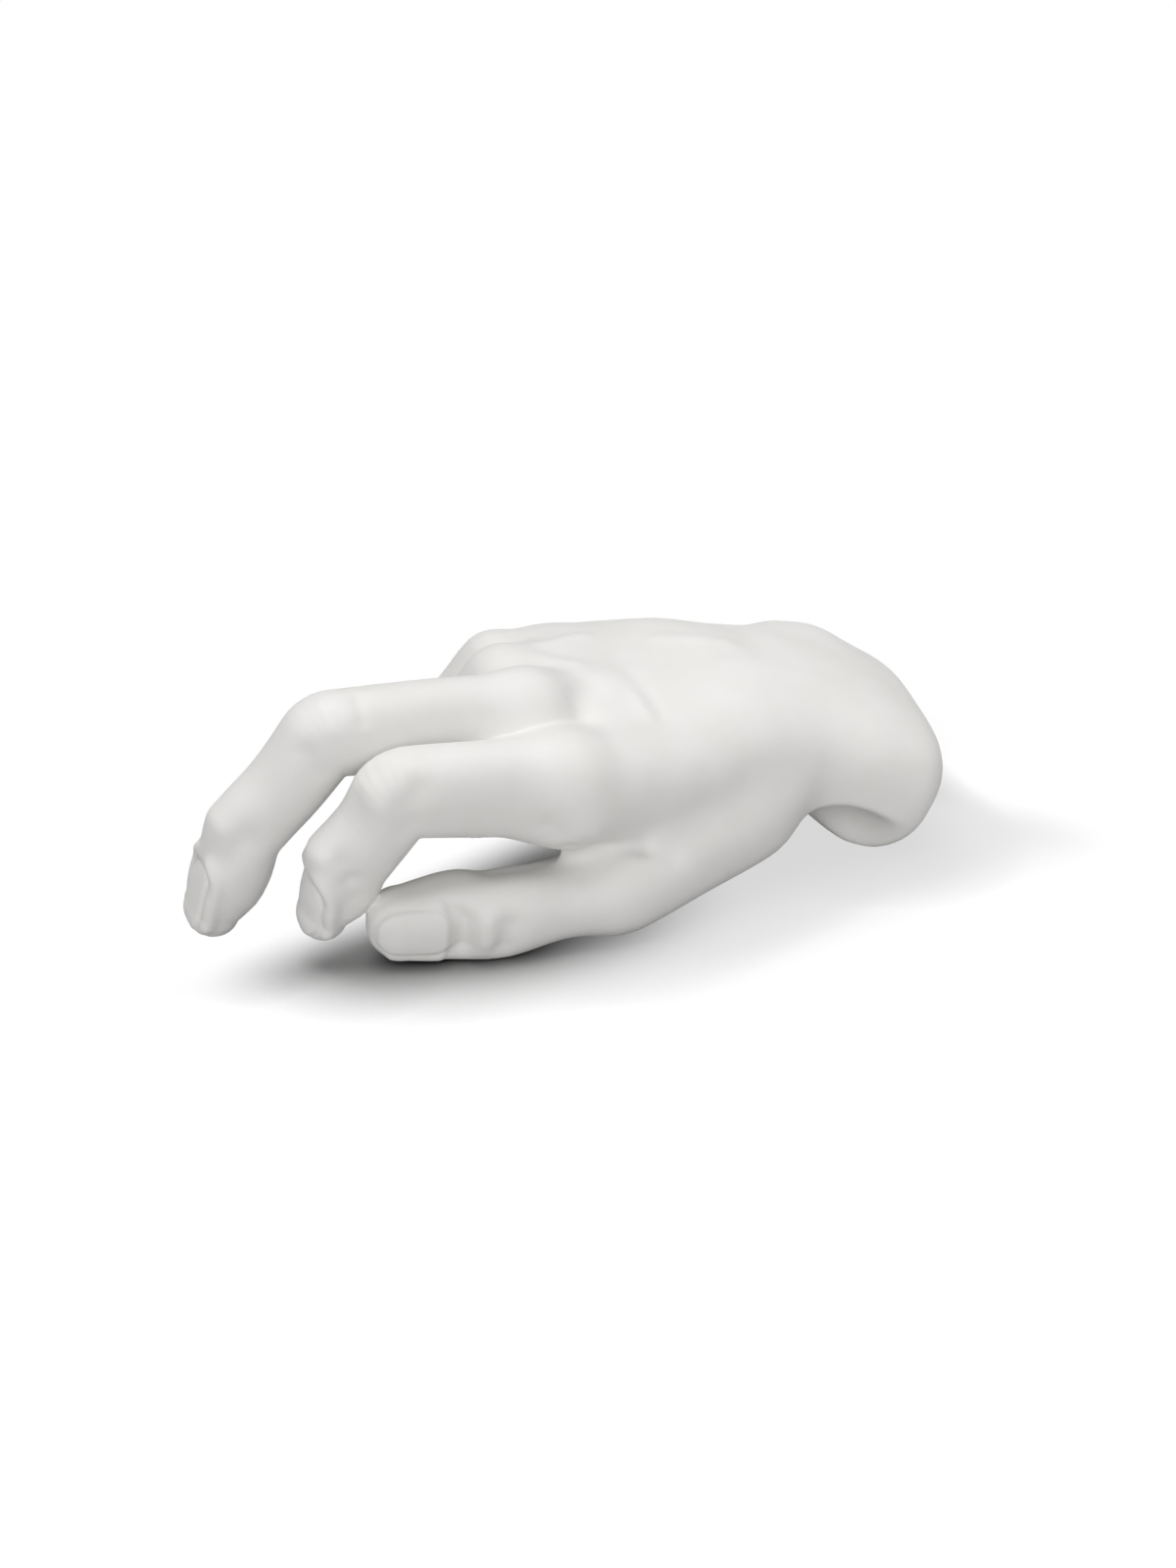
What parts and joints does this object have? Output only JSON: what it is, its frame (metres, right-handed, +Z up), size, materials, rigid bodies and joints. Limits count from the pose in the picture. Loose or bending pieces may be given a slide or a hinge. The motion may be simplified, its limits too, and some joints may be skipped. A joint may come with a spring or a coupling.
{
  "type": "ceramic hand sculpture",
  "caption": "Life-size matte white porcelain hand lying palm down with curled fingers, a table ornament luted together from cast pieces",
  "frame": {"origin": "middle of the footprint, on the table", "axes": "fingers point along -X and the wrist along +X, the thumb is on the -Y side, +Z is up out of the back of the hand"},
  "size_m": [0.2082, 0.0944, 0.0686],
  "materials": {
    "bisque": "matte unglazed"
  },
  "bodies": {
    "root": {"palm_shell": "bisque", "wrist_stump": "bisque", "thumb": "bisque", "index_finger": "bisque", "middle_finger": "bisque", "ring_finger": "bisque", "little_finger": "bisque"}
  },
  "joints": []
}
